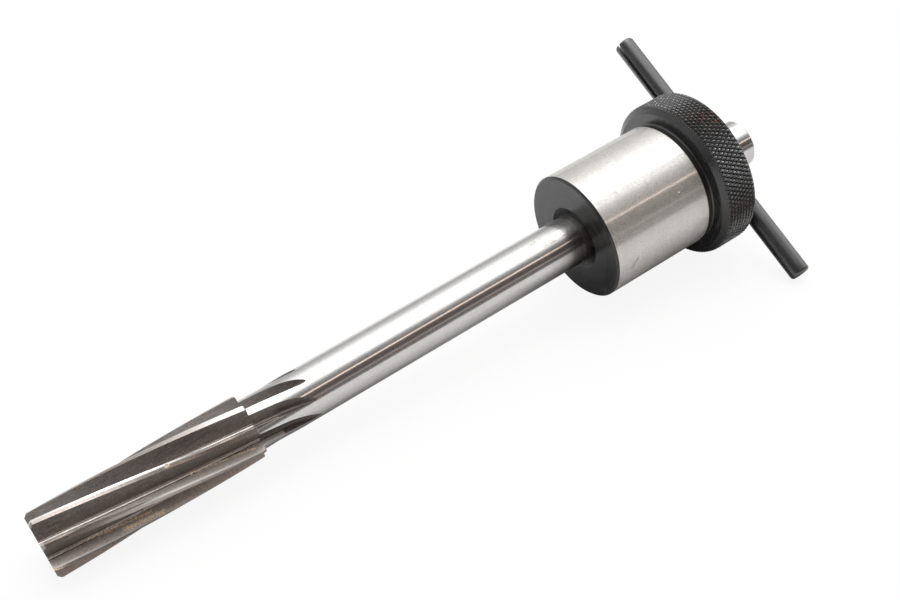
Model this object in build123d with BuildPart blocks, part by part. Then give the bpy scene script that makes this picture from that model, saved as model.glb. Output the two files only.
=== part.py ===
"""Bushing reamer with a sliding pilot bush and a spring pin as its turning bar.

Millimetres, +Z up.  The tool lies as it comes to rest on a table: on the knurled flange, on one tooth of the
cutter and on the lower end of the cross pin.  The origin is on the table under the middle of the tool, and
+X points from the cutter to the handle end.
"""
import os
from math import asin, atan2, cos, degrees, hypot, radians, sin, sqrt, tan

from build123d import *

# Cutter, measured from the tip along the tool's own axis
cutter_d = 14.29
cutter_length = 46.5
lead_chamfer = 0.7
heel_chamfer = 0.25
flute_count = 8
helix_lead = 287.5
land_width = 1.2
margin_width = 0.45
land_relief = 0.09
flute_corner_r = 3.85
flute_fillet = 0.6
flute_length = 52.4
flute_wheel_d = 41.5
first_edge_angle = 7.5

# How far the solid that cuts a flute reaches past the metal, and how many sections it is drawn through
flute_overrun = 1.5
straight_sections = 11
run_out_sections = 8

# Neck and shank, ground to one diameter
shank_d = 11.66
tool_length = 185.4
end_chamfer = 0.6
centre_drill_d = 1.6
centre_drill_depth = 3.2
centre_cone_d = 3.4
centre_cone_angle = 60.0

# Slotted spring pin across the shank
pin_d = 4.95
pin_length = 72.1
pin_wall = 1.0
pin_slit = 1.0
pin_end_round = 0.8
pin_end_margin = 9.1
pin_offset = -0.7
pin_slit_angle = 163.0
pin_slit_twist = 20.0

# Pilot bush
bore_clearance = 0.02
pilot_d = 30.8
pilot_land = 27.1
pilot_front_chamfer = 0.5
mouth_d = 15.4
relief_groove_width = 1.9
relief_groove_depth = 0.45
flange_d = 38.94
flange_width = 9.9
flange_chamfer_drop = 1.75
flange_chamfer_length = 1.15
rear_bore_chamfer = 0.4
pilot_pin_gap = 1.3

# Worked out from the sizes above
cutter_r = cutter_d / 2
shank_r = shank_d / 2
pin_r = pin_d / 2
pilot_r = pilot_d / 2
flange_r = flange_d / 2
pin_station = tool_length - pin_end_margin
flange_back = pin_station - pin_r - pilot_pin_gap
flange_front = flange_back - flange_width
land_back = flange_front - relief_groove_width
pilot_front = land_back - pilot_front_chamfer - pilot_land

# How the tool lies: the flange's front rim and the cutter's first full tooth touch the table, so the axis
# rises towards the handle, and the cross pin has turned until its lower end touches as well
rim_station = flange_front + flange_chamfer_length
tilt = atan2(flange_r - cutter_r, rim_station - lead_chamfer)
tip_height = cutter_r * cos(tilt) - lead_chamfer * sin(tilt)
pin_height = tip_height + pin_station * sin(tilt)
pin_low_end = pin_length / 2 + pin_offset
pin_high_end = pin_low_end - pin_length
pin_touch_reach = pin_low_end - pin_end_round
pin_touch_r = pin_r - pin_end_round
pin_lean = atan2(pin_touch_r, pin_touch_reach)
pin_slope = asin((pin_height - pin_end_round) / hypot(pin_touch_reach, pin_touch_r)) - pin_lean
pin_turn = asin(sin(pin_slope) / cos(tilt))
tip_back_reach = (cutter_r - lead_chamfer) * sin(tilt)
end_reach = tool_length * cos(tilt) + (shank_r - end_chamfer) * sin(tilt)
tip_x = -(end_reach - tip_back_reach) / 2

# The tool plane stands on the tip with its normal along the tool and its x axis along the cross pin.  The
# side plane holds the axis: its x is the distance from the axis, its y the distance from the tip.
tool = Plane(
    origin=(tip_x, 0, tip_height),
    x_dir=(sin(pin_turn) * sin(tilt), -cos(pin_turn), -sin(pin_turn) * cos(tilt)),
    z_dir=(cos(tilt), 0, sin(tilt)),
)
side = Plane(origin=tool.origin, x_dir=tool.x_dir, z_dir=-tool.y_dir)
tool_axis = Axis(tool.origin, tool.z_dir)
pin_plane = Plane(origin=tool.offset(pin_station).origin, x_dir=tool.z_dir, z_dir=tool.x_dir)
pin_axis = Axis(pin_plane.origin, pin_plane.z_dir)


def polar(radius, angle):
    """A point of a cross section, from its distance to the axis and its angle in degrees."""
    return (radius * cos(radians(angle)), radius * sin(radians(angle)))


def wheel_lift(station):
    """How far the flute-cutting wheel has climbed out at a distance from the tip."""
    past = max(0.0, station - flute_length)
    wheel_r = flute_wheel_d / 2
    return wheel_r - sqrt(wheel_r**2 - past**2)


# One flute, as a solid to cut away.  Its section is a V with a straight radial face, which becomes the
# cutting face, and a sloping back that ends at the land of the tooth behind.  The last side thins that land
# behind its margin.  The section turns with the helix and climbs out over the neck as the wheel did.
pitch_angle = 360 / flute_count
land_angle = degrees(land_width / cutter_r)
margin_angle = degrees(margin_width / cutter_r)
outside_r = cutter_r + flute_overrun
heel = Vector(*polar(cutter_r - land_relief, land_angle - pitch_angle))
margin_end = Vector(*polar(cutter_r, margin_angle - pitch_angle))
relief_end = margin_end + (margin_end - heel) / 2
root_r = flute_corner_r + flute_fillet / 2
wheel_exit = sqrt(flute_wheel_d * (shank_r - root_r) - (shank_r - root_r) ** 2)
straight_step = (flute_length + flute_overrun) / straight_sections
run_out_step = (wheel_exit + flute_overrun) / run_out_sections
stations = [straight_step * count - flute_overrun for count in range(straight_sections)]
stations += [flute_length + run_out_step * count for count in range(run_out_sections + 1)]

with BuildPart() as flute:
    for station in stations:
        lift = Vector(wheel_lift(station), 0)
        turn = first_edge_angle + 360 * station / helix_lead
        with BuildSketch(Plane.XY.offset(station).rotated((0, 0, turn))):
            with BuildLine():
                FilletPolyline(
                    Vector(outside_r, 0) + lift,
                    Vector(flute_corner_r, 0) + lift,
                    heel + lift,
                    radius=flute_fillet,
                )
                Polyline(
                    heel + lift,
                    relief_end + lift,
                    Vector(*polar(outside_r, margin_angle - pitch_angle)) + lift,
                    Vector(outside_r, 0) + lift,
                )
            make_face()
    loft()

# Reamer: turned between centres, then fluted and cross drilled
cone_r = centre_cone_d / 2
drill_r = centre_drill_d / 2
cone_depth = (cone_r - drill_r) / tan(radians(centre_cone_angle / 2))

with BuildPart(tool) as reamer:
    with BuildSketch(side):
        with BuildLine():
            Polyline(
                (0, centre_drill_depth),
                (drill_r, centre_drill_depth),
                (drill_r, cone_depth),
                (cone_r, 0),
                (cutter_r - lead_chamfer, 0),
                (cutter_r, lead_chamfer),
                (cutter_r, cutter_length - heel_chamfer),
                (cutter_r - heel_chamfer, cutter_length),
                (shank_r, cutter_length),
                (shank_r, tool_length - end_chamfer),
                (shank_r - end_chamfer, tool_length),
                (cone_r, tool_length),
                (drill_r, tool_length - cone_depth),
                (drill_r, tool_length - centre_drill_depth),
                (0, tool_length - centre_drill_depth),
                close=True,
            )
        make_face()
    revolve(axis=tool_axis)
    with PolarLocations(radius=0, count=flute_count):
        add(flute.part, mode=Mode.SUBTRACT)
    with BuildSketch(pin_plane):
        Circle(pin_r)
    extrude(amount=shank_d, both=True, mode=Mode.SUBTRACT)
reamer.part.label = "reamer"

# Pilot bush: bored to run on the shank, its outside ground between the front chamfer and the relief groove
bore_r = shank_r + bore_clearance
mouth_r = mouth_d / 2
mouth_depth = mouth_r - bore_r
groove_r = pilot_r - relief_groove_depth

with BuildPart() as pilot_bush:
    with BuildSketch(side):
        with BuildLine():
            Polyline(
                (bore_r, pilot_front + mouth_depth),
                (mouth_r, pilot_front),
                (pilot_r - pilot_front_chamfer, pilot_front),
                (pilot_r, pilot_front + pilot_front_chamfer),
                (pilot_r, land_back),
                (groove_r, land_back),
                (groove_r, flange_front),
                (flange_r - flange_chamfer_drop, flange_front),
                (flange_r, flange_front + flange_chamfer_length),
                (flange_r, flange_back - flange_chamfer_length),
                (flange_r - flange_chamfer_drop, flange_back),
                (bore_r + rear_bore_chamfer, flange_back),
                (bore_r, flange_back - rear_bore_chamfer),
                close=True,
            )
        make_face()
    revolve(axis=tool_axis)
pilot_bush.part.label = "pilot_bush"

# Cross pin: a rolled tube with rounded ends.  Its slit runs from end to end and turns a little on the way.
pin_section = Plane(origin=pin_plane.origin, x_dir=pin_plane.x_dir, z_dir=-pin_plane.y_dir)

with BuildPart() as cross_pin:
    with BuildSketch(pin_section) as pin_profile:
        with Locations((pin_r - pin_wall / 2, pin_offset)):
            Rectangle(pin_wall, pin_length)
        fillet(pin_profile.vertices().group_by(Axis.X)[-1], radius=pin_end_round)
    revolve(axis=pin_axis)
    for end, angle in ((pin_high_end, pin_slit_angle), (pin_low_end, pin_slit_angle + pin_slit_twist)):
        with BuildSketch(pin_plane.offset(end)):
            with PolarLocations(radius=pin_r, count=1, start_angle=angle):
                Rectangle(pin_d, pin_slit)
    loft(mode=Mode.SUBTRACT)
cross_pin.part.label = "cross_pin"

os.makedirs("parts", exist_ok=True)
export_step(reamer.part, "parts/reamer.step")
export_step(pilot_bush.part, "parts/pilot_bush.step")
export_step(cross_pin.part, "parts/cross_pin.step")
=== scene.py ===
"""Bushing reamer: its looks, in metres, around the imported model.

The pieces are modelled in millimetres in the tool's own frame: z runs along the tool from the cutter's tip, x
runs along the cross pin towards its lower end.  A station is a distance from the tip.  Angles are in degrees
about the tool's axis.
"""
from math import asin, atan2, ceil, cos, degrees, hypot, pi, radians, sin, sqrt, tan

import bpy
import numpy as np
from mathutils import Matrix, Vector


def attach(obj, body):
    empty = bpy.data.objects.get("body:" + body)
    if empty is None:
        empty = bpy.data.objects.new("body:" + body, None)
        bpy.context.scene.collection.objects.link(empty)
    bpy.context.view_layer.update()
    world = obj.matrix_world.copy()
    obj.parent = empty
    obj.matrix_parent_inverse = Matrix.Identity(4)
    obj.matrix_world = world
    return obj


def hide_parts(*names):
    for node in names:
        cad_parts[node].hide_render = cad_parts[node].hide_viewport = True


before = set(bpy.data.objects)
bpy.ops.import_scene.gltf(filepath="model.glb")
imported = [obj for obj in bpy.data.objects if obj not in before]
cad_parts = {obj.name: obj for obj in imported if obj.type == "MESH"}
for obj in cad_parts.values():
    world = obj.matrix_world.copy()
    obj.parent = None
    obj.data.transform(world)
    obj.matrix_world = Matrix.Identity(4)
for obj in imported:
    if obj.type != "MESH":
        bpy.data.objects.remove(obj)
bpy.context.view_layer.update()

MM = 0.001

# Sizes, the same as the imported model's
CUTTER_R = 14.29 / 2
CUTTER_LENGTH = 46.5
LEAD_CHAMFER = 0.7
HEEL_CHAMFER = 0.25
FLUTES = 8
HELIX_LEAD = 287.5
LAND_WIDTH = 1.2
MARGIN_WIDTH = 0.45
LAND_RELIEF = 0.09
FLUTE_CORNER_R = 3.85
FLUTE_FILLET = 0.6
FLUTE_LENGTH = 52.4
WHEEL_R = 41.5 / 2
FIRST_EDGE_ANGLE = 7.5
SHANK_R = 11.66 / 2
TOOL_LENGTH = 185.4
END_CHAMFER = 0.6
DRILL_R = 0.8
DRILL_DEPTH = 3.2
CONE_R = 1.7
CONE_HALF_ANGLE = 30
PIN_R = 4.95 / 2
PIN_LENGTH = 72.1
PIN_WALL = 1.0
PIN_SLIT = 1.0
PIN_END_ROUND = 0.8
PIN_END_MARGIN = 9.1
PIN_OFFSET = -0.7
PIN_SLIT_ANGLE = 163
PIN_SLIT_TWIST = 20
BORE_CLEARANCE = 0.02
PILOT_R = 30.8 / 2
PILOT_LAND = 27.1
FRONT_CHAMFER = 0.5
MOUTH_R = 7.7
GROOVE_WIDTH = 1.9
GROOVE_DEPTH = 0.45
FLANGE_R = 38.94 / 2
FLANGE_WIDTH = 9.9
FLANGE_DROP = 1.75
FLANGE_CHAMFER = 1.15
REAR_BORE_CHAMFER = 0.4
PILOT_PIN_GAP = 1.3

# Worked out from the sizes above
PIN_STATION = TOOL_LENGTH - PIN_END_MARGIN
BORE_R = SHANK_R + BORE_CLEARANCE
FLANGE_BACK = PIN_STATION - PIN_R - PILOT_PIN_GAP
FLANGE_FRONT = FLANGE_BACK - FLANGE_WIDTH
LAND_BACK = FLANGE_FRONT - GROOVE_WIDTH
PILOT_FRONT = LAND_BACK - FRONT_CHAMFER - PILOT_LAND

# How the tool lies on the table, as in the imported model
RIM_STATION = FLANGE_FRONT + FLANGE_CHAMFER
TILT = atan2(FLANGE_R - CUTTER_R, RIM_STATION - LEAD_CHAMFER)
TIP_HEIGHT = CUTTER_R * cos(TILT) - LEAD_CHAMFER * sin(TILT)
PIN_HEIGHT = TIP_HEIGHT + PIN_STATION * sin(TILT)
PIN_REACH = PIN_LENGTH / 2 + PIN_OFFSET - PIN_END_ROUND
PIN_TOUCH_R = PIN_R - PIN_END_ROUND
PIN_LEAN = atan2(PIN_TOUCH_R, PIN_REACH)
PIN_SLOPE = asin((PIN_HEIGHT - PIN_END_ROUND) / hypot(PIN_REACH, PIN_TOUCH_R)) - PIN_LEAN
PIN_TURN = asin(sin(PIN_SLOPE) / cos(TILT))
END_REACH = TOOL_LENGTH * cos(TILT) + (SHANK_R - END_CHAMFER) * sin(TILT)
TIP_X = -(END_REACH - (CUTTER_R - LEAD_CHAMFER) * sin(TILT)) / 2

# The tool's frame, and the cross pin's in it, whose z runs along the pin
AXIS = Vector((cos(TILT), 0, sin(TILT)))
PIN_WAY = Vector((sin(PIN_TURN) * sin(TILT), -cos(PIN_TURN), -sin(PIN_TURN) * cos(TILT)))
ACROSS = AXIS.cross(PIN_WAY)
TOOL = Matrix((PIN_WAY, ACROSS, AXIS)).transposed().to_4x4()
TOOL.translation = Vector((TIP_X, 0, TIP_HEIGHT)) * MM
ALONG_PIN = Matrix(((0, 0, 1, 0), (0, -1, 0, 0), (1, 0, 0, 0), (0, 0, 0, 1)))
PIN_FRAME = Matrix.Translation((0, 0, PIN_STATION * MM)) @ ALONG_PIN

# The pieces are a hair under full size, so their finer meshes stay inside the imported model's box
HAIR_UNDER = 0.99992

# The mesh attribute with each point's place in the piece's own frame, in millimetres
PLACE = "place"

# Edges that bend more than this are shaded as edges
SHARP_ANGLE = 24

# How finely the reamer is divided: steps across its sections, and rows of points along it
FACE_STEPS = 6
MARGIN_STEPS = 3
RELIEF_STEPS = 4
BACK_STEPS = 6
SLOPE_STEPS = 8
FILLET_STEPS = 8
ROOT_FACE_STEPS = 5
ROOT_STEPS = SLOPE_STEPS + FILLET_STEPS + ROOT_FACE_STEPS
ARC_STEPS = 16
TIP_RING_STEPS = 6
CUTTER_ROWS = 61
NECK_ROWS = 8
RUN_OUT_ROWS = 25
SHANK_ROWS = 29
END_RINGS = 4


def polar(radius, angle):
    """Points at a radius and an angle in degrees, as an array with two columns."""
    angle = np.radians(angle)
    return np.stack([radius * np.cos(angle), radius * np.sin(angle)], axis=-1)


def circle(radius, count, start=0.0):
    return polar(radius, start + np.arange(count) * 360 / count)


def angle_of(point):
    return degrees(atan2(point[1], point[0]))


def turned(points, angle):
    """Plane points turned about the origin."""
    c, s = cos(radians(angle)), sin(radians(angle))
    return points @ np.array([[c, s], [-s, c]])


def crossing(start, end, radius):
    """Where the line from start to end leaves the circle about the axis."""
    way = end - start
    a, b, c = way @ way, 2 * start @ way, start @ start - radius**2
    return start + way * (-b + sqrt(b * b - 4 * a * c)) / (2 * a)


def resampled(points, steps):
    """Evenly spaced points along a plane polyline, both ends included."""
    lengths = np.hypot(*np.diff(points, axis=0).T)
    along = np.concatenate([[0], np.cumsum(lengths)])
    wanted = np.linspace(0, along[-1], steps + 1)
    return np.stack([np.interp(wanted, along, points[:, k]) for k in (0, 1)], axis=-1)


def new_object(name, data):
    piece = bpy.data.objects.new(name, data)
    bpy.context.scene.collection.objects.link(piece)
    return piece


class Shell:
    """The points and faces of one piece, with the name of a finish for each face."""

    def __init__(self):
        self.points = []
        self.faces = []
        self.finishes = []

    def ring(self, plane_points, station):
        """Adds points at a station and returns their numbers."""
        first = len(self.points)
        self.points += [(x, y, station) for x, y in plane_points]
        return list(range(first, len(self.points)))

    def face(self, loop, finish):
        self.faces.append(loop)
        self.finishes.append(finish)

    def strip(self, near, far, finish, closed=True):
        """Four-sided faces between two rows of as many points.  finish is one name or one for each face."""
        count = len(near) if closed else len(near) - 1
        for i in range(count):
            j = (i + 1) % len(near)
            name = finish if isinstance(finish, str) else finish[i]
            self.face([near[i], near[j], far[j], far[i]], name)

    def piece(self, name, materials, flat=()):
        """Makes the object, still in the tool's own frame.  Finishes named in flat aren't shaded smooth."""
        mesh = bpy.data.meshes.new(name)
        mesh.from_pydata([[c * MM for c in p] for p in self.points], [], self.faces)
        names = list(materials)
        mesh.polygons.foreach_set("material_index", [names.index(f) for f in self.finishes])
        mesh.polygons.foreach_set("use_smooth", [f not in flat for f in self.finishes])
        mesh.update()
        mesh.set_sharp_from_angle(angle=radians(SHARP_ANGLE))
        for material in materials.values():
            mesh.materials.append(material)
        return new_object(name, mesh)


def settle(piece, frame_of_piece=TOOL):
    """Notes each point's place in the piece's own frame, and moves the mesh to where it lies."""
    mesh = piece.data
    place = np.empty(len(mesh.vertices) * 3, np.float32)
    mesh.vertices.foreach_get("co", place)
    mesh.attributes.new(PLACE, "FLOAT_VECTOR", "POINT").data.foreach_set("vector", place / MM)
    mesh.transform(Matrix.Scale(HAIR_UNDER, 4) @ frame_of_piece)
    mesh.update()


# A flute's section in its own frame.  Its cutting face lies along x, its back slopes up to the heel of the
# tooth behind, and a fillet joins the two.
PITCH = 360 / FLUTES
LAND_ANGLE = degrees(LAND_WIDTH / CUTTER_R)
MARGIN_ANGLE = degrees(MARGIN_WIDTH / CUTTER_R)
HEEL = polar(CUTTER_R - LAND_RELIEF, LAND_ANGLE - PITCH)
BACK_WAY = HEEL - np.array([FLUTE_CORNER_R, 0])
BACK_WAY = BACK_WAY / np.hypot(*BACK_WAY)
CORNER_ANGLE = atan2(-BACK_WAY[1], BACK_WAY[0])
FILLET_START = np.array([FLUTE_CORNER_R, 0]) + BACK_WAY * FLUTE_FILLET / tan(CORNER_ANGLE / 2)
FILLET_END = np.array([FLUTE_CORNER_R + FLUTE_FILLET / tan(CORNER_ANGLE / 2), 0])
FILLET_CENTRE = FILLET_END - np.array([0, FLUTE_FILLET])
FILLET_SWEEP = 180 - degrees(CORNER_ANGLE)

# The fillet is drawn more finely than it is kept
FILLET_FINENESS = 12
FILLET_ARC = polar(FLUTE_FILLET, np.linspace(90 + FILLET_SWEEP, 90, FILLET_STEPS * FILLET_FINENESS + 1))

# The finish of each face around a flute's root and around a tooth.  On the neck the roots are dark, and from
# a station on the cutting faces are dark as well.
ROOT_FINISH = ["flute"] * SLOPE_STEPS + ["root"] * FILLET_STEPS + ["face"] * ROOT_FACE_STEPS
TOOTH_FINISH = (
    ["face"] * FACE_STEPS + ["margin"] * MARGIN_STEPS + ["relief"] * RELIEF_STEPS + ["flute"] * BACK_STEPS
)
NECK_FINISH = ["flute"] * (SLOPE_STEPS + FILLET_STEPS) + ["face"] * ROOT_FACE_STEPS
NECK_DARKENS = 51.8

# A nick in one tooth's land: the rows of points that it needs and the points of a row that it lowers
NICK_TOOTH = 5
NICK_FROM = 27.3
NICK_TO = 27.6
NICK_ROWS = [27.2, 27.35, 27.75]
NICK_DEPTH = 0.2
NICKED = slice(FACE_STEPS + 1, FACE_STEPS + 6)

# The ring on the tip's face, inside the flutes' roots
TIP_RING_R = FLUTE_CORNER_R - 0.35

# A run-out closes on a point, a little past the station where this depth is left, which is found in steps
RUN_OUT_POINT = 0.25
RUN_OUT_LEFT = 0.012
RUN_OUT_SEARCH = 0.01


def wheel_lift(station):
    """How far the flute-cutting wheel has climbed out at a station."""
    past = max(0.0, station - FLUTE_LENGTH)
    return WHEEL_R - sqrt(WHEEL_R**2 - past**2)


def flute_turn(station):
    return FIRST_EDGE_ANGLE + 360 * station / HELIX_LEAD


def sector(points, index, station):
    """Plane points turned from a flute's own frame to where that flute is at a station."""
    return turned(points, flute_turn(station) + index * PITCH)


def root(lift, radius):
    """The part of a flute's section inside a circle, from its back to its cutting face."""
    rise = np.array([lift, 0])
    start, end = FILLET_START + rise, FILLET_END + rise
    arc = FILLET_CENTRE + rise + FILLET_ARC
    inside = np.hypot(*arc.T) < radius
    if inside[0] and inside[-1]:
        back = np.linspace(crossing(start, HEEL + rise, radius), start, SLOPE_STEPS + 1)
        face = np.linspace(end, crossing(end, end + [radius, 0], radius), ROOT_FACE_STEPS + 1)
        return np.concatenate([back[:-1], resampled(arc, FILLET_STEPS), face[1:]])
    path = arc[inside]
    if inside[0]:
        path = np.concatenate([[crossing(start, HEEL + rise, radius)], path])
    if inside[-1]:
        path = np.concatenate([path, [crossing(end, end + [radius, 0], radius)]])
    return resampled(path, ROOT_STEPS)


def tooth(edge_r):
    """A tooth's outline outside the shank's circle, from its cutting face to its back, in its flute's frame.

    On the chamfers, where edge_r is less than the heel's radius, the land is a plain arc.
    """
    face = np.stack([np.linspace(SHANK_R, edge_r, FACE_STEPS + 1), np.zeros(FACE_STEPS + 1)], axis=-1)
    margin = polar(edge_r, np.linspace(0, MARGIN_ANGLE, MARGIN_STEPS + 1))
    share = np.linspace(0, 1, RELIEF_STEPS + 1)
    if edge_r > np.hypot(*HEEL):
        relief = margin[-1] + share[:, None] * (turned(HEEL, PITCH) - margin[-1])
    else:
        heel = turned(crossing(FILLET_START, HEEL, edge_r), PITCH)
        relief = polar(edge_r, MARGIN_ANGLE + share * (angle_of(heel) - MARGIN_ANGLE))
    low = turned(crossing(FILLET_START, HEEL, SHANK_R), PITCH)
    back = np.linspace(relief[-1], low, BACK_STEPS + 1)
    return np.concatenate([face, margin[1:], relief[1:], back[1:]])


def build_reamer(materials):
    shell = Shell()
    rows = cutter(shell)
    tip_face(shell, rows[0])
    shank(shell, *run_outs(shell, rows[-1]))
    return shell.piece("reamer_body", materials)


def cutter(shell):
    """The cutter's side.  Returns its rows of points, each with the flutes' roots and the teeth by turns."""
    stations = [0.0, LEAD_CHAMFER]
    stations += list(np.linspace(LEAD_CHAMFER, CUTTER_LENGTH - HEEL_CHAMFER, CUTTER_ROWS + 1)[1:])
    stations = sorted(stations + NICK_ROWS) + [CUTTER_LENGTH]
    low = root(0.0, SHANK_R)
    rows = []
    for station in stations:
        edge_r = CUTTER_R
        if station < LEAD_CHAMFER:
            edge_r = CUTTER_R - LEAD_CHAMFER + station
        if station == CUTTER_LENGTH:
            edge_r = CUTTER_R - HEEL_CHAMFER
        high = tooth(edge_r)[1:-1]
        row = []
        for k in range(FLUTES):
            row.append(shell.ring(sector(low, k, station), station))
            land = high.copy()
            if k == NICK_TOOTH and NICK_FROM < station < NICK_TO:
                land[NICKED] *= 1 - NICK_DEPTH / CUTTER_R
            row.append(shell.ring(sector(land, k, station), station))
        rows.append(row)
    for near, far in zip(rows, rows[1:]):
        shell.strip(sum(near, []), sum(far, []), (ROOT_FINISH + TOOTH_FINISH) * FLUTES)
    return rows


def tip_face(shell, tip):
    """The tip's flat face: one face for each tooth down to a ring, then rings down to the centre hole."""
    low_middle = SLOPE_STEPS + FILLET_STEPS // 2
    start = angle_of(shell.points[tip[0][low_middle]])
    core = shell.ring(circle(TIP_RING_R, FLUTES * TIP_RING_STEPS, start), 0.0)
    for k in range(FLUTES):
        after = tip[(2 * k + 2) % len(tip)]
        loop = tip[2 * k][low_middle:] + tip[2 * k + 1] + after[:low_middle + 1]
        arc = [core[(k * TIP_RING_STEPS + i) % len(core)] for i in range(TIP_RING_STEPS + 1)]
        shell.face(loop[::-1] + arc, "end")
    centre_hole(shell, core, TIP_RING_R, start, 0.0, 1)


def root_r(station):
    """The least distance from the axis to a flute's root."""
    return min(np.hypot(*(FILLET_CENTRE + [wheel_lift(station), 0] + FILLET_ARC).T))


def run_out_stations():
    """Stations from behind the cutter to where the flutes have nearly left the shank."""
    run_out = 0.0
    while root_r(FLUTE_LENGTH + run_out) < SHANK_R - RUN_OUT_LEFT:
        run_out += RUN_OUT_SEARCH
    neck = FLUTE_LENGTH - CUTTER_LENGTH
    past = list(np.linspace(0, neck, NECK_ROWS + 1)[1:])
    past += list(neck + run_out * np.sin(np.linspace(0, pi / 2, RUN_OUT_ROWS + 1)[1:]))
    return [CUTTER_LENGTH + step for step in past]


def shank_arc(path):
    """The shank's outline between two flutes whose section inside the shank is path, without its ends."""
    angles = np.linspace(angle_of(path[-1]), angle_of(path[0]) + PITCH, ARC_STEPS + 1)
    return polar(SHANK_R, angles[1:-1])


def with_ends(lows, arcs, k):
    """A row of the shank's points with the flutes' edges at both ends."""
    return [lows[k][-1]] + arcs[k] + [lows[(k + 1) % FLUTES][0]]


def run_outs(shell, cutter_back):
    """The step behind the cutter, and the flutes running out in the shank.

    Returns the last rows of points in the flutes and between them, the last section and its station.
    """
    lows = cutter_back[0::2]
    arc = shank_arc(root(0.0, SHANK_R))
    arcs = [shell.ring(sector(arc, k, CUTTER_LENGTH), CUTTER_LENGTH) for k in range(FLUTES)]
    for k in range(FLUTES):
        after = lows[(k + 1) % FLUTES]
        shell.face([lows[k][-1]] + cutter_back[2 * k + 1] + [after[0]] + arcs[k][::-1], "end")
    for station in run_out_stations():
        path = root(wheel_lift(station), SHANK_R)
        finish = NECK_FINISH if station < NECK_DARKENS else "flute"
        new_lows, new_arcs = [], []
        for k in range(FLUTES):
            new_lows.append(shell.ring(sector(path, k, station), station))
            new_arcs.append(shell.ring(sector(shank_arc(path), k, station), station))
        for k in range(FLUTES):
            shell.strip(lows[k], new_lows[k], finish, closed=False)
            shell.strip(with_ends(lows, arcs, k), with_ends(new_lows, new_arcs, k), "shank", closed=False)
        lows, arcs = new_lows, new_arcs
    return lows, arcs, path, station


def shank(shell, lows, arcs, path, last):
    """Closes each run-out on one point and takes the shank on as plain rings to the end's centre hole."""
    start = (angle_of(path[0]) + angle_of(path[-1])) / 2 + flute_turn(last)
    count = FLUTES * ARC_STEPS
    exit_station = last + RUN_OUT_POINT
    ring = shell.ring(circle(SHANK_R, count, start), exit_station)
    for k in range(FLUTES):
        for a, b in zip(lows[k], lows[k][1:]):
            shell.face([a, b, ring[k * ARC_STEPS]], "flute")
        far = [ring[(k * ARC_STEPS + i) % count] for i in range(ARC_STEPS + 1)]
        shell.strip(with_ends(lows, arcs, k), far, "shank", closed=False)
    for station in np.linspace(exit_station, TOOL_LENGTH - END_CHAMFER, SHANK_ROWS + 1)[1:]:
        far = shell.ring(circle(SHANK_R, count, start), station)
        shell.strip(ring, far, "shank")
        ring = far
    far = shell.ring(circle(SHANK_R - END_CHAMFER, count, start), TOOL_LENGTH)
    shell.strip(ring, far, "end")
    centre_hole(shell, far, SHANK_R - END_CHAMFER, start, TOOL_LENGTH, -1)


def centre_hole(shell, ring, ring_r, start, station, inward):
    """A flat face from a ring in to a centre hole, and the hole, which runs inward: 1 or -1 along z."""
    depth = (CONE_R - DRILL_R) / tan(radians(CONE_HALF_ANGLE))
    profile = [(r, 0.0) for r in np.linspace(ring_r, CONE_R, END_RINGS + 1)[1:]]
    profile += [(DRILL_R, depth), (DRILL_R, DRILL_DEPTH)]
    for radius, sunk in profile:
        far = shell.ring(circle(radius, len(ring), start), station + inward * sunk)
        near, far_side = (far, ring) if inward > 0 else (ring, far)
        shell.strip(near, far_side, "end" if sunk == 0 else "hole")
        ring = far
    shell.face(ring if inward < 0 else ring[::-1], "hole")


# The cross hole is a hair wider than the pin
HOLE_R = PIN_R + 0.005
HOLE_SEGMENTS = 96


def cross_hole(piece):
    """Drills the hole for the cross pin."""
    shell = Shell()
    near = shell.ring(circle(HOLE_R, HOLE_SEGMENTS), -2 * SHANK_R)
    far = shell.ring(circle(HOLE_R, HOLE_SEGMENTS), 2 * SHANK_R)
    shell.strip(near, far, "hole")
    shell.face(near[::-1], "hole")
    shell.face(far, "hole")
    drill = shell.piece("drill", {"hole": piece.data.materials["steel_hole"]})
    drill.data.transform(PIN_FRAME)
    modifier = piece.modifiers.new("hole", "BOOLEAN")
    modifier.operation = "DIFFERENCE"
    modifier.solver = "EXACT"
    modifier.object = drill
    modifier.material_mode = "TRANSFER"
    bpy.context.view_layer.update()
    cut = piece.evaluated_get(bpy.context.evaluated_depsgraph_get())
    mesh = bpy.data.meshes.new_from_object(cut)
    piece.modifiers.clear()
    piece.data = mesh
    bpy.data.objects.remove(drill)


def round_normals(piece):
    """Gives the shank the normals of a true cylinder, whatever its faces' widths."""
    mesh = piece.data
    shank_index = [m.name for m in mesh.materials].index("steel_shank")
    place = mesh.attributes[PLACE].data
    normals = np.zeros((len(mesh.loops), 3))
    for polygon in mesh.polygons:
        if polygon.material_index != shank_index:
            continue
        for loop in polygon.loop_indices:
            x, y, _ = place[mesh.loops[loop].vertex_index].vector
            normals[loop] = (PIN_WAY * x + ACROSS * y).normalized()
    mesh.normals_split_custom_set(normals)


# The knurl: its count around, its grooves and its flat tips, which stay inside the flange's radius
KNURL_COUNT = 106
KNURL_HELIX = 32
KNURL_DEPTH = 0.42
KNURL_FLAT = 0.1
KNURL_TIP_R = FLANGE_R - 0.02
KNURL_AXIAL = 2 * pi * FLANGE_R / KNURL_COUNT / tan(radians(KNURL_HELIX))

# How finely the bush is divided: stretches of its section longer than LONG get more rows
KNURL_STEPS = 8
KNURL_POINTS = KNURL_COUNT * KNURL_STEPS
BUSH_SEGMENTS = 212
LONG = 5.0
LONG_ROWS = 24
SHORT_ROWS = 4
BACK_RINGS = 4
GROOVE_FILLET_STEPS = 6

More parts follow.
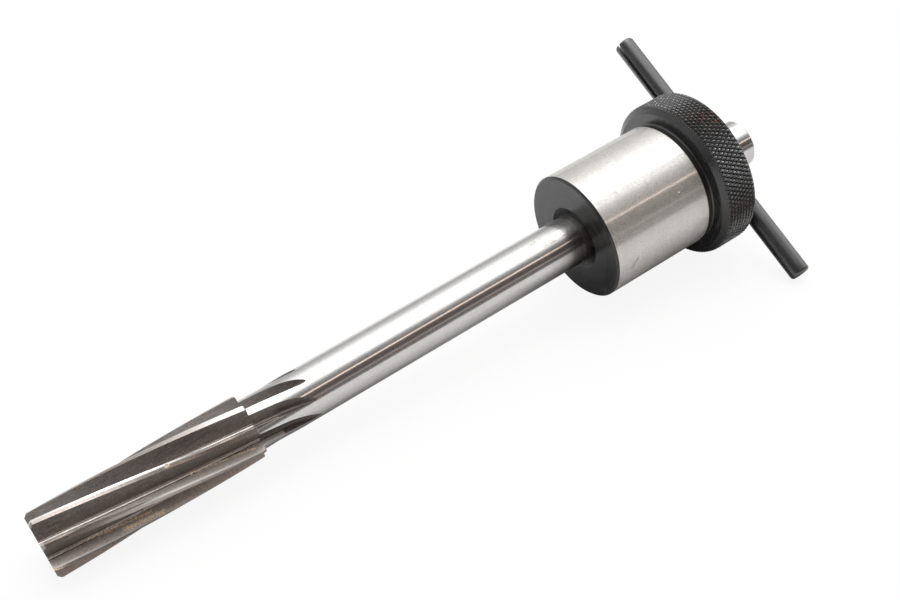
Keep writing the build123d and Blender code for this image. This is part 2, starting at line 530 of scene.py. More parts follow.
# Small shapes of the bush: the fillet in the relief groove's corner, the ground land's back edge, the back
# face's rim, and the outer part of the flange's chamfers, which has rows of its own and a gap after them
GROOVE_FILLET = 0.5
LAND_EDGE = 0.08
BACK_RIM = 0.6
OUTER_CHAMFER = FLANGE_CHAMFER * 0.6
OUTER_CHAMFER_ROWS = 3
OUTER_CHAMFER_GAP = 0.05


def knurl_radius(turn, station):
    """The knurled surface's radius: two families of V grooves, cut from the flange's edge inwards."""
    around = turn * KNURL_COUNT / 360
    along = (station - FLANGE_FRONT) / KNURL_AXIAL
    heights = []
    for hand in (1, -1):
        phase = (around + hand * along) % 1.0
        rise = np.minimum(phase, 1 - phase) / (0.5 - KNURL_FLAT / 2)
        heights.append(np.minimum(rise, 1.0))
    return KNURL_TIP_R - KNURL_DEPTH * (1 - np.minimum(*heights))


def flange_cone(station):
    """The flange's radius with its two chamfers and no knurl."""
    edge = np.minimum(station - FLANGE_FRONT, FLANGE_BACK - station)
    slope = FLANGE_DROP / FLANGE_CHAMFER
    return np.minimum(KNURL_TIP_R, FLANGE_R - FLANGE_DROP + slope * np.maximum(edge, 0))


def bush_section():
    """Radius, station and finish of the points from the back of the bore round the front to the flange."""
    groove_r = PILOT_R - GROOVE_DEPTH
    section = [
        (BORE_R, FLANGE_BACK - REAR_BORE_CHAMFER, "bore"),
        (BORE_R, PILOT_FRONT + (MOUTH_R - BORE_R), "bore"),
        (MOUTH_R, PILOT_FRONT, "mouth"),
        (PILOT_R - FRONT_CHAMFER, PILOT_FRONT, "front"),
        (PILOT_R, PILOT_FRONT + FRONT_CHAMFER, "edge"),
        (PILOT_R, LAND_BACK - LAND_EDGE, "land"),
        (PILOT_R - LAND_EDGE, LAND_BACK, "land"),
        (groove_r, LAND_BACK, "groove"),
        (groove_r, FLANGE_FRONT - GROOVE_FILLET, "groove"),
    ]
    for bend in np.linspace(0, pi / 2, GROOVE_FILLET_STEPS + 1)[1:]:
        radius = groove_r + GROOVE_FILLET * (1 - cos(bend))
        section.append((radius, FLANGE_FRONT - GROOVE_FILLET * (1 - sin(bend)), "groove"))
    return section


def knurl_rows():
    """The knurled band's rows of points, as depths behind the flange's front.

    They keep to the knurl's own spacing, so that its creases lie along the faces' edges.
    """
    step = KNURL_AXIAL / KNURL_STEPS
    rows = np.arange(step * ceil(OUTER_CHAMFER / step), FLANGE_WIDTH - OUTER_CHAMFER, step)
    outer = np.linspace(0, OUTER_CHAMFER, OUTER_CHAMFER_ROWS + 1)
    return np.concatenate([outer, rows[rows > OUTER_CHAMFER + OUTER_CHAMFER_GAP], FLANGE_WIDTH - outer[::-1]])


def knurl_strip(shell, near, far, turns, station):
    """Triangles between two rows of the knurl, each cell split along its crease."""
    count = len(near)
    points = shell.points
    half_step = 180 / count
    for i in range(count):
        j = (i + 1) % count
        middle = min(knurl_radius(np.array([turns[i] + half_step]), station)[0], flange_cone(station))
        one = (hypot(*points[near[i]][:2]) + hypot(*points[far[j]][:2])) / 2
        other = (hypot(*points[near[j]][:2]) + hypot(*points[far[i]][:2])) / 2
        if abs(one - middle) < abs(other - middle):
            shell.face([near[i], near[j], far[j]], "knurl")
            shell.face([near[i], far[j], far[i]], "knurl")
        else:
            shell.face([near[i], near[j], far[i]], "knurl")
            shell.face([near[j], far[j], far[i]], "knurl")


def flange_rim(shell, ring, band_edge, front):
    """Faces between a ring and the knurled band's edge, which has several points for each of the ring's."""
    per = KNURL_POINTS // BUSH_SEGMENTS
    for i in range(BUSH_SEGMENTS):
        j = (i + 1) % BUSH_SEGMENTS
        arc = [band_edge[(i * per + n) % KNURL_POINTS] for n in range(per + 1)]
        shell.face(arc[::-1] + [ring[i], ring[j]] if front else arc + [ring[j], ring[i]], "flange")


def build_bush(materials):
    shell = Shell()
    (last_r, last_z, _), *section = bush_section()
    first = ring = shell.ring(circle(last_r, BUSH_SEGMENTS), last_z)
    for radius, station, finish in section:
        rows = LONG_ROWS if abs(station - last_z) > LONG else SHORT_ROWS
        for share in np.linspace(0, 1, rows + 1)[1:]:
            row = circle(last_r + (radius - last_r) * share, BUSH_SEGMENTS)
            far = shell.ring(row, last_z + (station - last_z) * share)
            shell.strip(ring, far, finish)
            ring = far
        last_r, last_z = radius, station

    depths = knurl_rows()
    turns = np.arange(KNURL_POINTS) * 360 / KNURL_POINTS
    band = []
    for depth in depths:
        station = FLANGE_FRONT + depth
        radius = np.minimum(knurl_radius(turns, station), flange_cone(station))
        band.append(shell.ring(polar(radius, turns), station))
    flange_rim(shell, ring, band[0], front=True)
    for near, far, depth, far_depth in zip(band, band[1:], depths, depths[1:]):
        knurl_strip(shell, near, far, turns, FLANGE_FRONT + (depth + far_depth) / 2)

    rim_r = FLANGE_R - FLANGE_DROP - BACK_RIM
    ring = shell.ring(circle(rim_r, BUSH_SEGMENTS), FLANGE_BACK)
    flange_rim(shell, ring, band[-1], front=False)
    for radius in np.linspace(rim_r, BORE_R + REAR_BORE_CHAMFER, BACK_RINGS + 1)[1:]:
        far = shell.ring(circle(radius, BUSH_SEGMENTS), FLANGE_BACK)
        shell.strip(ring, far, "flange")
        ring = far
    shell.strip(ring, first, "flange")
    return shell.piece("bush_body", materials, flat=("knurl",))


# How finely the cross pin is divided, and the small chamfer along its slit
PIN_ARC_STEPS = 72
PIN_END_STEPS = 8
PIN_ROWS = 41
PIN_EDGE = 0.12


def pin_section(share, drop):
    """The pin's outside, lowered by drop, and its bore, both slit, a share of the way along the pin."""
    inner_r = PIN_R - PIN_WALL
    outer = PIN_R - drop
    edge = min(PIN_EDGE, (outer - inner_r) / 2)
    wide = degrees(asin((PIN_SLIT / 2 + edge) / outer))
    close = degrees(asin(PIN_SLIT / 2 / (outer - edge)))
    within = degrees(asin(PIN_SLIT / 2 / inner_r))
    section = np.concatenate([
        polar(outer - edge, np.array([close])),
        polar(outer, np.linspace(wide, 360 - wide, PIN_ARC_STEPS + 1)),
        polar(outer - edge, np.array([-close])),
        polar(inner_r, np.linspace(360 - within, within, PIN_ARC_STEPS + 1)),
    ])
    return turned(section, PIN_SLIT_ANGLE + PIN_SLIT_TWIST * share)


def build_pin(materials):
    """The pin along its own z axis."""
    shell = Shell()
    low_end = PIN_LENGTH / 2 + PIN_OFFSET
    high_end = low_end - PIN_LENGTH
    bends = np.linspace(0, pi / 2, PIN_END_STEPS + 1)
    ends = [(PIN_END_ROUND * (1 - cos(b)), PIN_END_ROUND * (1 - sin(b))) for b in bends]
    middle = np.linspace(high_end + PIN_END_ROUND, low_end - PIN_END_ROUND, PIN_ROWS + 1)[1:-1]
    stations = [(high_end + back, drop) for back, drop in ends]
    stations += [(z, 0.0) for z in middle]
    stations += [(low_end - back, drop) for back, drop in reversed(ends)]
    rows = [shell.ring(pin_section((z - high_end) / PIN_LENGTH, drop), z) for z, drop in stations]
    finish = ["slit"] + ["pin"] * PIN_ARC_STEPS + ["slit"] * 2 + ["hole"] * PIN_ARC_STEPS + ["slit"]
    for near, far in zip(rows, rows[1:]):
        shell.strip(near, far, finish)
    for row, forward in ((rows[0], False), (rows[-1], True)):
        outer = row[:PIN_ARC_STEPS + 3]
        inner = row[PIN_ARC_STEPS + 3:][::-1]
        inner = [inner[0]] + inner + [inner[-1]]
        for a, b, c, d in zip(outer, outer[1:], inner[1:], inner):
            loop = [a, b, c] if c == d else [a, b, c, d]
            shell.face(loop if forward else loop[::-1], "pin_end")
    return shell.piece("pin_body", materials)


def tinted(colour, share):
    """A colour made darker or brighter."""
    return tuple(c * share for c in colour)


class Nodes:
    """A node tree, with short ways to add the nodes that the finishes, the room and the floor use."""

    def __init__(self, tree):
        self.tree = tree

    def feed(self, socket, value):
        if isinstance(value, bpy.types.NodeSocket):
            self.tree.links.new(value, socket)
        else:
            socket.default_value = value

    def feed_named(self, node, values):
        for name, value in values.items():
            self.feed(node.inputs[name], value)

    def add(self, kind, *values, **settings):
        """Adds a node, feeds its inputs in order and returns its outputs."""
        node = self.tree.nodes.new("ShaderNode" + kind)
        for name, value in settings.items():
            setattr(node, name, value)
        for socket, value in zip(node.inputs, values):
            self.feed(socket, value)
        return node.outputs

    def maths(self, operation, *values):
        return self.add("Math", *values, operation=operation)[0]

    def vector(self, operation, *values):
        outputs = self.add("VectorMath", *values, operation=operation)
        return outputs[1] if operation in ("LENGTH", "DOT_PRODUCT") else outputs[0]

    def split(self, vector):
        return self.add("SeparateXYZ", vector)

    def join(self, x, y, z):
        return self.add("CombineXYZ", x, y, z)[0]

    def ramp(self, value, *stops, interpolation="LINEAR"):
        """stops are (position, colour), where a colour is a grey value or three numbers."""
        node = self.tree.nodes.new("ShaderNodeValToRGB")
        node.color_ramp.interpolation = interpolation
        while len(node.color_ramp.elements) < len(stops):
            node.color_ramp.elements.new(0.5)
        for element, (position, colour) in zip(node.color_ramp.elements, stops):
            element.position = position
            colour = (colour,) * 3 if isinstance(colour, (int, float)) else colour
            element.color = (*colour, 1)
        self.feed(node.inputs[0], value)
        return node.outputs[0]

    def mix(self, share, first, second):
        """A colour between two others, which are the node's inputs 6 and 7."""
        node = self.tree.nodes.new("ShaderNodeMix")
        node.data_type = "RGBA"
        for index, value in ((0, share), (6, first), (7, second)):
            self.feed(node.inputs[index], (*value, 1) if isinstance(value, tuple) else value)
        return node.outputs[2]


class Finish(Nodes):
    """A piece's material.  Places are in millimetres in the piece's own frame, whose z axis is its axis."""

    def __init__(self, name):
        self.material = bpy.data.materials.new(name)
        self.material.use_nodes = True
        super().__init__(self.material.node_tree)
        self.shader = self.tree.nodes["Principled BSDF"]

    def where(self, seed=0.0):
        """The place on the piece, moved by a seed so that each finish has noise of its own."""
        place = self.add("Attribute", attribute_name=PLACE)["Vector"]
        return self.vector("ADD", place, (seed, seed, seed)) if seed else place

    def radial(self, place):
        """Distance to the axis."""
        x, y, _ = self.split(place)
        return self.vector("LENGTH", self.join(x, y, 0.0))

    def noise(self, place, scale, detail=3.0, roughness=0.6):
        node = self.tree.nodes.new("ShaderNodeTexNoise")
        self.feed_named(node, {"Vector": place, "Scale": scale, "Detail": detail, "Roughness": roughness})
        return node.outputs[0]

    def streaks(self, place, across, along, detail=3.0, roughness=0.6):
        """Noise that changes faster across the axis than along it, or the other way round."""
        return self.noise(self.vector("MULTIPLY", place, (across, across, along)), 1.0, detail, roughness)

    def bump(self, height, depth, strength):
        """A normal for a height that goes from 0 to 1 over depth in millimetres."""
        node = self.tree.nodes.new("ShaderNodeBump")
        self.feed_named(node, {"Strength": strength, "Distance": depth * MM, "Height": height})
        return node.outputs[0]

    def marked(self, shade, metallic, marks):
        """Stains along short lines, each (start, end, reach, colour, share, patchy).  A patchy one falls
        apart into flecks.  Returns the shade and how metallic it is.
        """
        place = self.where()
        uneven = self.maths("SUBTRACT", self.noise(place, scale=MARK_GRAIN, roughness=0.7), 0.5)
        for start, end, reach, colour, share, patchy in marks:
            way = Vector(end) - Vector(start)
            from_start = self.vector("SUBTRACT", place, start)
            along = self.maths("DIVIDE", self.vector("DOT_PRODUCT", from_start, way), way.length_squared)
            along = self.maths("MINIMUM", self.maths("MAXIMUM", along, 0.0), 1.0)
            nearest = self.join(*(self.maths("MULTIPLY", along, part) for part in way))
            away = self.vector("LENGTH", self.vector("SUBTRACT", from_start, nearest))
            away = self.maths("MULTIPLY_ADD", away, 0.5 / reach, MARK_LINE)
            away = self.maths("MULTIPLY_ADD", uneven, patchy, away)
            mark = self.ramp(away, (MARK_FULL, share), (MARK_EDGE, 0.0))
            shade = self.mix(mark, shade, colour)
            metallic = self.maths("MULTIPLY", metallic, self.maths("SUBTRACT", 1.0, mark))
        return shade, metallic

    def metal(self, colour, roughness, metallic, normal, **others):
        """Feeds the shader and returns the material."""
        inputs = {"Base Color": colour, "Roughness": roughness, "Metallic": metallic, "Normal": normal}
        self.feed_named(self.shader, {**inputs, **others})
        return self.material


# Colours of stains, dirt and wear
CREAM = (0.85, 0.72, 0.56)
TAN = (0.85, 0.66, 0.5)
GOLD = (1.0, 0.77, 0.55)
BROWN = (0.3, 0.2, 0.13)
SCALE_BROWN = (0.32, 0.22, 0.16)
SPECKLE = (0.34, 0.28, 0.24)
# Dirt, also used as painted shade where the floor shades the lowest tooth
DIRT_AND_PAINTED_SHADE = (0.13, 0.1, 0.08)
# Grime, also used as painted shade on the shank by the bush's mouth and on its lower side
GRIME_AND_PAINTED_SHADE = (0.13, 0.11, 0.095)
PIT_BLACK = (0.06, 0.055, 0.05)
CHALK = (0.9, 0.88, 0.85)
RUST = (0.36, 0.1, 0.045)
BARE_STEEL = (0.42, 0.415, 0.41)


def in_flute(flute, station, radius, turn=0.0):
    """A point on a flute's cutting face, or turned from it by an angle."""
    x, y = polar(radius, flute_turn(station) + flute * PITCH + turn)
    return (x, y, station)


# Stains and scuffs seen in the photograph, as Finish.marked takes them
CUTTER_MARKS = [
    ((0.2, -7.0, 27.2), (0.2, -7.0, 27.7), 0.62, CREAM, 1.0, 0.4),
    ((1.6, -6.92, 6.0), (1.6, -6.92, 6.3), 0.42, CREAM, 1.0, 0.4),
    (in_flute(7, 0.3, 6.7, 8), in_flute(7, 1.2, 6.9, 11), 1.2, TAN, 1.0, 0.8),
    # The lowest tooth's land: dirt with painted shade, for the floor's shadow under the tool
    (in_flute(7, 3.0, 7.0, 6), in_flute(7, 24.0, 7.0, 6), 1.1, DIRT_AND_PAINTED_SHADE, 0.75, 1.0),
    (in_flute(6, 31.0, 4.35), in_flute(6, 44.5, 5.7), 0.4, GOLD, 1.0, 2.2),
    (in_flute(7, 8.0, 4.35), in_flute(7, 21.0, 5.3), 0.4, GOLD, 1.0, 2.2),
    (in_flute(7, 15.0, 6.1), in_flute(7, 23.0, 6.4), 0.7, GOLD, 0.9, 2.6),
]
SHANK_MARKS = [
    ((-2.23, -5.39, 185.0), (-2.23, -5.39, 185.1), 0.36, PIT_BLACK, 1.0, 0.3),
    ((-1.9, -5.4, 120.8), (-0.9, -5.7, 125.2), 1.3, BROWN, 0.5, 2.6),
]
SLEEVE_MARKS = [
    ((6.18, -14.11, 154.0), (6.18, -14.11, 154.02), 0.38, CHALK, 1.0, 0.3),
    ((13.2, -7.9, 138.9), (14.0, -6.4, 137.4), 0.7, BROWN, 0.5, 2.6),
]

# The grain that breaks up a mark's edge.  A mark is full up to one distance from its line and gone at
# another, on a scale that starts at MARK_LINE and rises by a half over the mark's reach.
MARK_GRAIN = 3.6
MARK_LINE = 0.25
MARK_FULL = 0.42
MARK_EDGE = 0.55

# Grime and painted shade on the shank, the shade standing in for the bush's dark front face reflected in it
# and for shade on its lower side: where it begins, the length it comes and goes over, and how far its edge
# wavers
GRIME_AND_SHADE_FROM = 121.5
GRIME_AND_SHADE_REACH = 36.0
GRIME_AND_SHADE_WAVES = 4.0

# Wear on the knurl: how deep it goes, and where it has rusted
KNURL_WORN = 0.11
RUST_AT = (-4.4, -18.9, 169.8)
RUST_REACH = 3.6


def grime_and_painted_shade(finish, uneven):
    """Grime and painted shade on the shank: most at the bush's mouth and below, and not at all further under
    the bush.
    """
    x, _, z = finish.split(finish.where())
    waves = finish.maths("MULTIPLY", finish.maths("MULTIPLY_ADD", uneven, 2.0, -1.0), GRIME_AND_SHADE_WAVES)
    close = finish.maths("ADD", finish.maths("SUBTRACT", z, GRIME_AND_SHADE_FROM), waves)
    close = finish.maths("DIVIDE", close, GRIME_AND_SHADE_REACH)
    close = finish.ramp(close, (0.0, 0.0), (0.25, 0.85), (0.33, 0.85), (0.65, 0.0))
    below = finish.ramp(finish.maths("MULTIPLY_ADD", x, 0.08, 0.5), (0.5, 0.35), (0.85, 1.0))
    return finish.maths("MULTIPLY", close, below)


def ground_round(name, colour, dark, seed, smooth, rough, matt_from, stretch, marks, grimy_and_shaded=False):
    """Steel ground round and round: sharp reflections around it, blurred ones along it.  Between the bright
    marks lies a matt grit, more of it where matt_from is lower.
    """
    finish = Finish(name)
    place = finish.where(seed)
    rings = finish.streaks(place, across=0.03, along=8.0)
    broad = finish.streaks(place, across=0.15, along=0.5)
    grit = finish.streaks(place, across=16.0, along=24.0, detail=0.0, roughness=0.5)
    speckle = finish.streaks(place, across=3.4, along=2.6, detail=2.0, roughness=0.7)
    matt = finish.ramp(grit, (0.0, smooth), (matt_from, rough), interpolation="CONSTANT")
    shade = finish.mix(finish.ramp(broad, (0.42, 1.0), (0.62, 0.0)), colour, dark)
    shade = finish.mix(finish.ramp(speckle, (0.5, 0.0), (0.75, 0.5)), shade, SPECKLE)
    # Painted shade with grime: darker just before the bush's mouth and on the lower side
    if grimy_and_shaded:
        shade = finish.mix(grime_and_painted_shade(finish, broad), shade, GRIME_AND_PAINTED_SHADE)
    shade, metallic = finish.marked(shade, 1.0, marks)
    tangent = finish.add("VectorTransform", tuple(AXIS), convert_from="OBJECT", convert_to="WORLD")[0]
    return finish.metal(shade, matt, metallic, finish.bump(rings, 0.001, 0.4), Anisotropic=stretch,
                        Tangent=tangent)


def plain_steel(name, colour, dark, roughness, seed=0.0, along=0.4, across=2.5, depth=0.01, marks=(),
                bare=1.0):
    """Machined steel with streaks: along the tool where along is lower than across."""
    finish = Finish(name)
    place = finish.where(seed)
    streaks = finish.streaks(place, across, along, detail=5.0, roughness=0.7)
    mottle = finish.noise(place, scale=1.6, roughness=0.7)
    shade = finish.ramp(streaks, (0.3, dark), (0.7, colour))
    shade = finish.mix(finish.ramp(mottle, (0.5, 0.0), (0.8, 0.6)), shade, tinted(dark, 0.75))
    shade, metallic = finish.marked(shade, bare, marks)
    rough = finish.ramp(streaks, (0.3, roughness + 0.08), (0.7, roughness - 0.05))
    return finish.metal(shade, rough, metallic, finish.bump(streaks, depth, 0.6))


def flute_steel(name, pale, dark, roughness, bare):
    """The flutes' backs and roots: scaled steel with streaks along them and brown specks."""
    finish = Finish(name)
    place = finish.where()
    streaks = finish.streaks(place, across=3.0, along=0.35, detail=5.0, roughness=0.7)
    mottle = finish.noise(place, scale=2.2, roughness=0.7)
    specks = finish.noise(place, scale=3.4, detail=2.0, roughness=0.7)
    rusty = finish.ramp(specks, (0.55, 0.0), (0.68, 0.55))
    shade = finish.ramp(streaks, (0.3, dark), (0.72, pale))
    shade = finish.mix(finish.ramp(mottle, (0.5, 0.0), (0.75, 0.6)), shade, tinted(dark, 0.6))
    shade, metallic = finish.marked(finish.mix(rusty, shade, SCALE_BROWN), bare, CUTTER_MARKS)
    metallic = finish.maths("MULTIPLY", metallic, finish.maths("SUBTRACT", 1.0, rusty))
    return finish.metal(shade, roughness, metallic, finish.bump(streaks, 0.012, 0.6))


def worn_knurl(finish, shade):
    """Bare steel on the knurl's worn tips and a little rust.  Returns the shade and how metallic it is."""
    place = finish.where()
    patchy = finish.maths("SUBTRACT", finish.noise(place, scale=1.1), 0.5)
    high = finish.maths("SUBTRACT", finish.radial(place), KNURL_TIP_R - KNURL_WORN)
    bare = finish.maths("ADD", finish.maths("MULTIPLY", high, 5.0), finish.maths("MULTIPLY", patchy, 2.0))
    bare = finish.ramp(bare, (0.0, 0.0), (0.6, 1.0))
    rust = finish.ramp(finish.noise(place, scale=1.9, detail=1.0, roughness=0.5), (0.6, 0.0), (0.64, 0.9))
    away = finish.vector("LENGTH", finish.vector("SUBTRACT", place, RUST_AT))
    near = finish.ramp(finish.maths("DIVIDE", away, RUST_REACH), (0.5, 1.0), (1.0, 0.0))
    rust = finish.maths("MULTIPLY", rust, near)
    shade = finish.mix(rust, finish.mix(bare, shade, BARE_STEEL), RUST)
    return shade, finish.maths("MULTIPLY", bare, finish.maths("SUBTRACT", 1.0, rust))


def black_oxide(name, colour, roughness, seed, depth=0.004, radial=False, ior=1.9, worn=False, fine=6.0):
    """Blackened steel with turning rings: around one another on a radial face, else behind one another."""
    finish = Finish(name)
    place = finish.where()
    x, y, z = finish.split(place)
    lathe = finish.join(x, y, finish.radial(place) if radial else z)
    rings = finish.streaks(lathe, across=0.05, along=fine, detail=4.0, roughness=0.7)
    cloud = finish.noise(finish.where(seed), scale=0.7, detail=4.0)
    shade = finish.mix(finish.ramp(cloud, (0.35, 0.0), (0.7, 1.0)), tinted(colour, 0.7), tinted(colour, 1.7))
    if radial:
        shade = finish.mix(finish.ramp(rings, (0.38, 0.75), (0.62, 0.0)), shade, tinted(colour, 0.2))
    metallic = 0.0
    if worn:
        shade, metallic = worn_knurl(finish, shade)
    rough = finish.ramp(rings, (0.3, roughness - 0.05), (0.7, roughness + 0.07))
    return finish.metal(shade, rough, metallic, finish.bump(rings, depth, 0.8), IOR=ior)


def drawn_black(name, colour, roughness, seed):
    """Blackened strip rolled to a pin: fine streaks from end to end, scuffed here and there."""
    finish = Finish(name)
    place = finish.where(seed)
    streaks = finish.streaks(place, across=5.0, along=0.15)
    cloud = finish.streaks(place, across=0.8, along=0.3, detail=4.0)
    shade = finish.mix(finish.ramp(cloud, (0.35, 0.0), (0.7, 1.0)), tinted(colour, 0.6), tinted(colour, 1.8))
    rough = finish.ramp(cloud, (0.35, roughness - 0.04), (0.7, roughness + 0.06))
    return finish.metal(shade, rough, 0.0, finish.bump(streaks, 0.002, 0.6), IOR=1.95)


# The room's brightness by height, from the horizon on the camera's side (0) over the top (90) to the far
# horizon (180): degrees, level, tint
ROOM_TOP = 3.2
NEUTRAL = (1, 1, 1)
WARM = (1, 0.88, 0.82)
PEACH = (1, 0.84, 0.74)
ROOM = [
    (0, 0.27, WARM), (7, 0.165, WARM), (11, 0.2, WARM), (12.5, 0.62, WARM), (14.5, 0.5, WARM),
    (19, 0.16, WARM), (31, 0.13, WARM), (37, 0.16, WARM),
    (40.5, 0.5, PEACH), (41.7, 2.5, PEACH), (43.3, 2.5, PEACH), (45, 0.65, PEACH), (49, 0.31, WARM),
    (54, 0.35, NEUTRAL), (61, 0.52, NEUTRAL), (66, 0.9, NEUTRAL), (73, 1.9, NEUTRAL), (129, 1.9, NEUTRAL),
    (135.5, 1.5, NEUTRAL), (145, 1.09, NEUTRAL), (155, 0.87, NEUTRAL), (165, 0.67, NEUTRAL),
    (180, 0.7, NEUTRAL),
]
DARK_END = [
    (0, 0.2, WARM), (60, 0.14, WARM), (70, 0.2, NEUTRAL), (80, 0.36, NEUTRAL), (110, 0.6, NEUTRAL),
    (150, 0.75, NEUTRAL), (180, 0.8, NEUTRAL),
]
SOFT_BOX = [(82, 0, NEUTRAL), (86, 3.0, NEUTRAL), (112, 3.0, NEUTRAL), (118, 0, NEUTRAL)]

# How much of the lit room and of the soft box there is along the tool, from the cutter's side (-1) to the
# handle's (1)
LIT_LENGTH = [(-0.45, 0.0), (-0.2, 0.3), (-0.03, 1.0)]
SOFT_BOX_LENGTH = [(-0.02, 0.0), (0.12, 1.0), (0.5, 1.0), (0.62, 0.0)]

# Past a point on the handle's side the room leans, by this many degrees for each unit along the tool
LEAN_FROM = 0.4
LEAN = 24


def light_world():
    """A studio around the tool: a soft box overhead, pale walls beyond it, and a darker room by the camera.

    The camera itself sees plain white behind the tool.
    """
    world = bpy.data.worlds.new("studio")
    world.use_nodes = True
    bpy.context.scene.world = world
    nodes = Nodes(world.node_tree)
    nodes.tree.nodes.clear()
    seen = nodes.add("TexCoord")["Generated"]
    towards_camera = nodes.vector("DOT_PRODUCT", seen, (0, -1, 0))
    upwards = nodes.vector("DOT_PRODUCT", seen, (-sin(TILT), 0, cos(TILT)))
    along = nodes.vector("DOT_PRODUCT", seen, AXIS)
    beyond = nodes.maths("MAXIMUM", nodes.maths("SUBTRACT", along, LEAN_FROM), 0.0)
    height = nodes.maths("DIVIDE", nodes.maths("ARCTAN2", upwards, towards_camera), pi)
    height = nodes.maths("MULTIPLY_ADD", beyond, LEAN / 180, height)
    length = nodes.maths("MULTIPLY_ADD", along, 0.5, 0.5)

    def by_height(table):
        stops = ((angle / 180, tinted(tint, level / ROOM_TOP)) for angle, level, tint in table)
        return nodes.ramp(height, *stops)

    def by_length(table):
        return nodes.ramp(length, *(((place + 1) / 2, level) for place, level in table))

    dark_end = nodes.add("Background", by_height(DARK_END), ROOM_TOP)[0]
    lit_end = nodes.add("Background", by_height(ROOM), ROOM_TOP)[0]
    box_level = nodes.maths("MULTIPLY", by_length(SOFT_BOX_LENGTH), ROOM_TOP)
    soft_box = nodes.add("Background", by_height(SOFT_BOX), box_level)[0]
    white = nodes.add("Background", (1, 1, 1, 1), 1.0)[0]
    room = nodes.add("MixShader", by_length(LIT_LENGTH), dark_end, lit_end)[0]
    room = nodes.add("AddShader", room, soft_box)[0]
    room = nodes.add("MixShader", nodes.add("LightPath")["Is Camera Ray"], room, white)[0]
    nodes.add("OutputWorld", room)


# The floor's paper.  In reflections it carries painted shade: a painted fade towards the camera, between two
# distances to the tool's middle, and a painted shadow right under the tool
FLOOR_REACH = 4.0
PAPER = 0.85
PAINTED_FADE_SPAN = (-0.19, -0.43)
PAINTED_FADE_DEPTH = 0.8
SHADOW_REACH = 0.03
SHADOW_SAMPLES = 6

# How much of the floor is plain white to the camera and in reflections
WHITE_SEEN = 0.9
WHITE_REFLECTED = 0.04


def build_floor():
    mesh = bpy.data.meshes.new("floor")
    corners = [(x * FLOOR_REACH, y * FLOOR_REACH, 0) for x, y in ((-1, -1), (1, -1), (1, 1), (-1, 1))]
    mesh.from_pydata(corners, [], [(0, 1, 2, 3)])
    material = bpy.data.materials.new("floor_paper")
    material.use_nodes = True
    nodes = Nodes(material.node_tree)
    nodes.tree.nodes.clear()
    ray = nodes.add("LightPath")
    glossy = ray["Is Glossy Ray"]
    _, y, _ = nodes.split(nodes.add("NewGeometry")["Position"])
    # Painted shade in reflections only: a fade towards the camera and a shadow under the tool
    painted_fade = nodes.add("MapRange", y, *PAINTED_FADE_SPAN, 0.0, PAINTED_FADE_DEPTH)[0]
    open_sky = nodes.add("AmbientOcclusion", (1, 1, 1, 1), SHADOW_REACH, samples=SHADOW_SAMPLES)["AO"]
    painted_shadow = nodes.maths("MULTIPLY", nodes.maths("SUBTRACT", 1.0, open_sky), glossy)
    painted_dark = nodes.maths("MAXIMUM", nodes.maths("MULTIPLY", painted_fade, glossy), painted_shadow)
    paper = nodes.add("BsdfDiffuse", nodes.maths("MULTIPLY_ADD", painted_dark, -PAPER, PAPER))[0]
    reflected = nodes.maths("MAXIMUM", glossy, ray["Is Transmission Ray"])
    share = nodes.maths("MULTIPLY", nodes.maths("MULTIPLY", reflected, open_sky), WHITE_REFLECTED)
    share = nodes.maths("MULTIPLY_ADD", ray["Is Camera Ray"], WHITE_SEEN, share)
    nodes.add("OutputMaterial", nodes.add("MixShader", share, paper, nodes.add("Emission")[0])[0])
    mesh.materials.append(material)
    new_object("floor", mesh)


# The camera, from the photograph's perspective: where it stands, where it heads and how it is rolled
CAMERA_AT = Vector((-0.1065615, -0.1819277, 0.1918017))
CAMERA_HEADING = 31.5754
CAMERA_DROP = 39.2805
CAMERA_ROLL = -5.3746
CAMERA_LENS = 50.2435
SENSOR_WIDTH = 36
CLIP_START = 0.005


def place_camera():
    heading, drop, roll = (radians(a) for a in (CAMERA_HEADING, CAMERA_DROP, CAMERA_ROLL))
    look = Vector((sin(heading) * cos(drop), cos(heading) * cos(drop), -sin(drop)))
    level = Vector((cos(heading), -sin(heading), 0))
    upright = level.cross(look)
    right = level * cos(roll) + upright * sin(roll)
    up = upright * cos(roll) - level * sin(roll)
    data = bpy.data.cameras.new("camera")
    data.lens = CAMERA_LENS
    data.sensor_width = SENSOR_WIDTH
    data.clip_start = CLIP_START
    camera = new_object("camera", data)
    camera.matrix_world = Matrix((right, up, -look)).transposed().to_4x4()
    camera.matrix_world.translation = CAMERA_AT
    bpy.context.scene.camera = camera


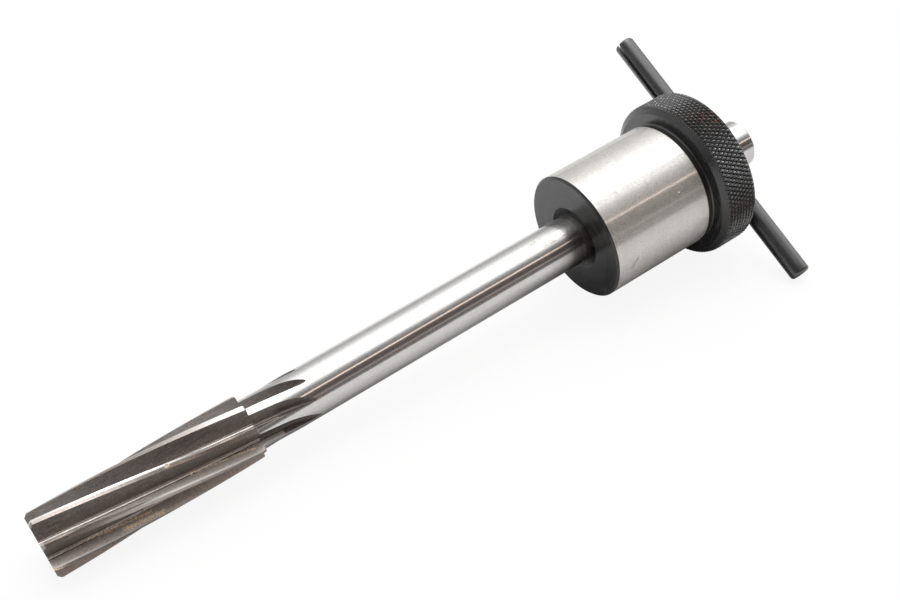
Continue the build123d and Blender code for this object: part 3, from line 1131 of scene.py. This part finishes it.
hole_steel = plain_steel("steel_hole", (0.2, 0.18, 0.17), (0.12, 0.11, 0.1), 0.5)
reamer = build_reamer({
    # The shank gets painted shade with grime by the bush's mouth and on its lower side
    "shank": ground_round("steel_shank", (0.61, 0.605, 0.6), (0.595, 0.585, 0.575), seed=0.0, smooth=0.13,
                          rough=0.4, matt_from=0.6, stretch=0.9, marks=SHANK_MARKS, grimy_and_shaded=True),
    "margin": plain_steel("steel_margin", (0.68, 0.665, 0.65), (0.56, 0.54, 0.52), 0.2, seed=3.0, along=5.0,
                          across=0.8, depth=0.004),
    "relief": plain_steel("steel_relief", (0.48, 0.43, 0.4), (0.3, 0.26, 0.238), 0.28, seed=5.0, along=5.0,
                          across=0.8, depth=0.008, marks=CUTTER_MARKS),
    "face": plain_steel("steel_face", (0.62, 0.56, 0.52), (0.36, 0.31, 0.28), 0.45, seed=7.0, along=4.0,
                        across=0.8, depth=0.02, marks=CUTTER_MARKS, bare=0.4),
    "flute": flute_steel("steel_flute", (0.18, 0.162, 0.153), (0.08, 0.07, 0.065), 0.37, bare=0.4),
    "root": flute_steel("steel_root", (0.54, 0.51, 0.49), (0.27, 0.25, 0.235), 0.27, bare=0.9),
    "end": plain_steel("steel_end", (0.5, 0.48, 0.46), (0.36, 0.34, 0.32), 0.3, seed=9.0,
                       marks=SHANK_MARKS + CUTTER_MARKS),
    "hole": hole_steel,
})
cross_hole(reamer)
settle(reamer)
round_normals(reamer)

bush = build_bush({
    "land": ground_round("steel_land", (0.72, 0.71, 0.69), (0.69, 0.675, 0.65), seed=40.0, smooth=0.1,
                         rough=0.62, matt_from=0.4, stretch=0.6, marks=SLEEVE_MARKS),
    "bore": hole_steel,
    "mouth": black_oxide("black_mouth", (0.06, 0.061, 0.062), 0.5, seed=1.0, ior=1.5),
    "front": black_oxide("black_front", (0.027, 0.0273, 0.028), 0.2, depth=0.08, seed=2.0, radial=True,
                         ior=1.56, fine=1.1),
    "edge": black_oxide("black_edge", (0.015, 0.015, 0.016), 0.35, seed=3.0, ior=1.6),
    "groove": black_oxide("black_groove", (0.012, 0.011, 0.0105), 0.25, seed=4.0, ior=1.7),
    "flange": black_oxide("black_flange", (0.026, 0.0265, 0.0275), 0.25, seed=5.0, radial=True, ior=1.8),
    "knurl": black_oxide("black_knurl", (0.007, 0.007, 0.0073), 0.24, seed=6.0, ior=1.7, worn=True),
})
settle(bush)

pin = build_pin({
    "pin": drawn_black("black_pin", (0.013, 0.013, 0.0135), 0.27, seed=7.0),
    # The slit's walls and the bore are the pin's black made lighter: painted light caught inside them
    "slit": black_oxide("black_slit_painted_light", (0.1, 0.1, 0.102), 0.45, seed=8.0),
    "pin_end": drawn_black("black_pin_end", (0.03, 0.03, 0.031), 0.24, seed=9.0),
    "hole": black_oxide("black_pin_bore_painted_light", (0.14, 0.14, 0.142), 0.5, seed=10.0),
})
settle(pin, TOOL @ PIN_FRAME)

for piece, node, body, slot in (
    (reamer, "reamer", "tool", "ground_steel"),
    (pin, "cross_pin", "tool", "blackened_pin"),
    (bush, "pilot_bush", "pilot", "blackened_bush"),
):
    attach(piece, body)
    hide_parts(node)

bpy.context.scene.view_settings.view_transform = "Standard"
light_world()
build_floor()
place_camera()
